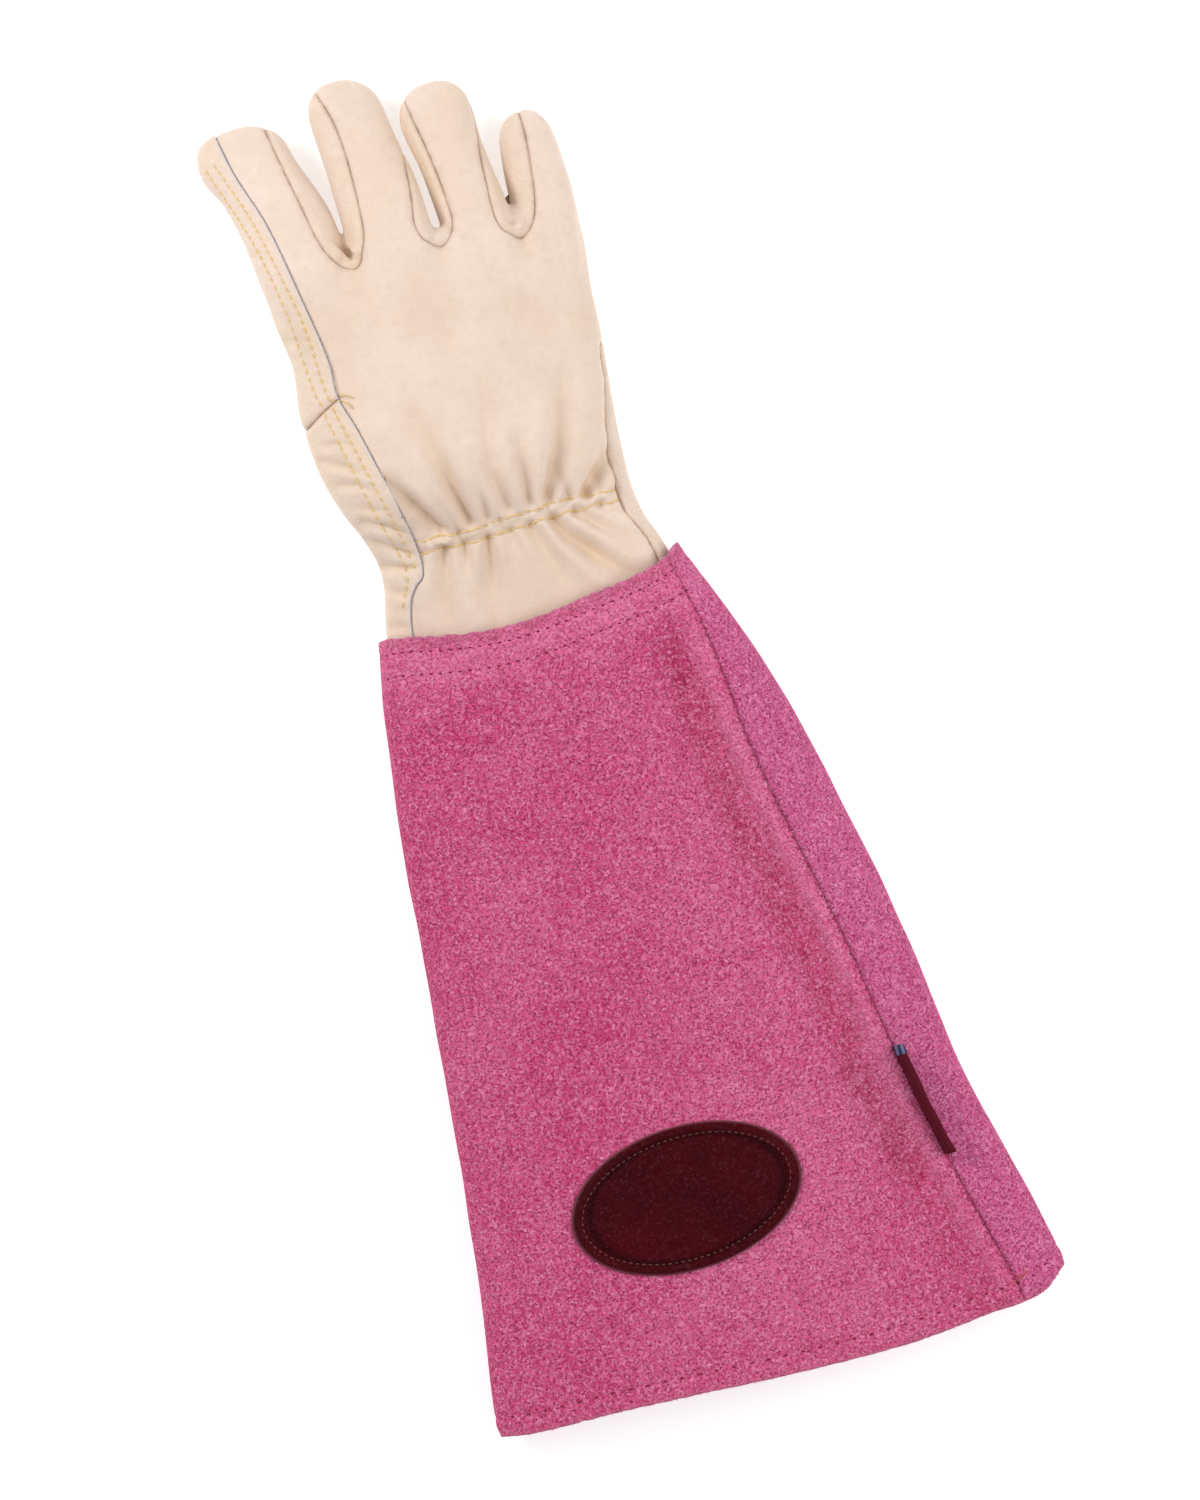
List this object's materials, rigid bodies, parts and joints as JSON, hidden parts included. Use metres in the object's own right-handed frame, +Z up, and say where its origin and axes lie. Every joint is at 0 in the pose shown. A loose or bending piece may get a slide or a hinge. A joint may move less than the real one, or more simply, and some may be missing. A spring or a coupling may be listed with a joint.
{
  "type": "gardening glove",
  "caption": "Long-cuffed leather gardening glove for the right hand, lying flat with its back up and the thumb folded under the palm.",
  "frame": {"origin": "on the surface the glove lies on, under the middle of its box", "axes": "+X towards the little-finger side, +Y from the cuff to the fingertips, +Z up, out of the back of the hand"},
  "size_m": [0.1878, 0.4386, 0.0416],
  "materials": {
    "cream_back": "soft grain leather, matte, cream with a pink cast",
    "cream_palm": "soft pebbled leather, matte, cream",
    "cream_side": "soft grain leather, matte, slightly yellower cream",
    "pink_suede": "napped suede, deep pink, fully matte",
    "burgundy_leather": "smooth dark burgundy leather, slightly glossy",
    "burgundy_ribbon": "woven satin ribbon, burgundy"
  },
  "bodies": {
    "root": {"hand_back": "cream_back", "hand_palm": "cream_palm", "finger_front": "cream_palm", "thumb": "cream_palm", "fourchette_index_middle": "cream_side", "fourchette_middle_ring": "cream_side", "fourchette_ring_little": "cream_side", "index_side_strip": "cream_side", "wrist_side_strip": "cream_side", "cuff_panel": "pink_suede", "cuff_patch": "burgundy_leather", "cuff_tag": "burgundy_ribbon"}
  },
  "joints": []
}
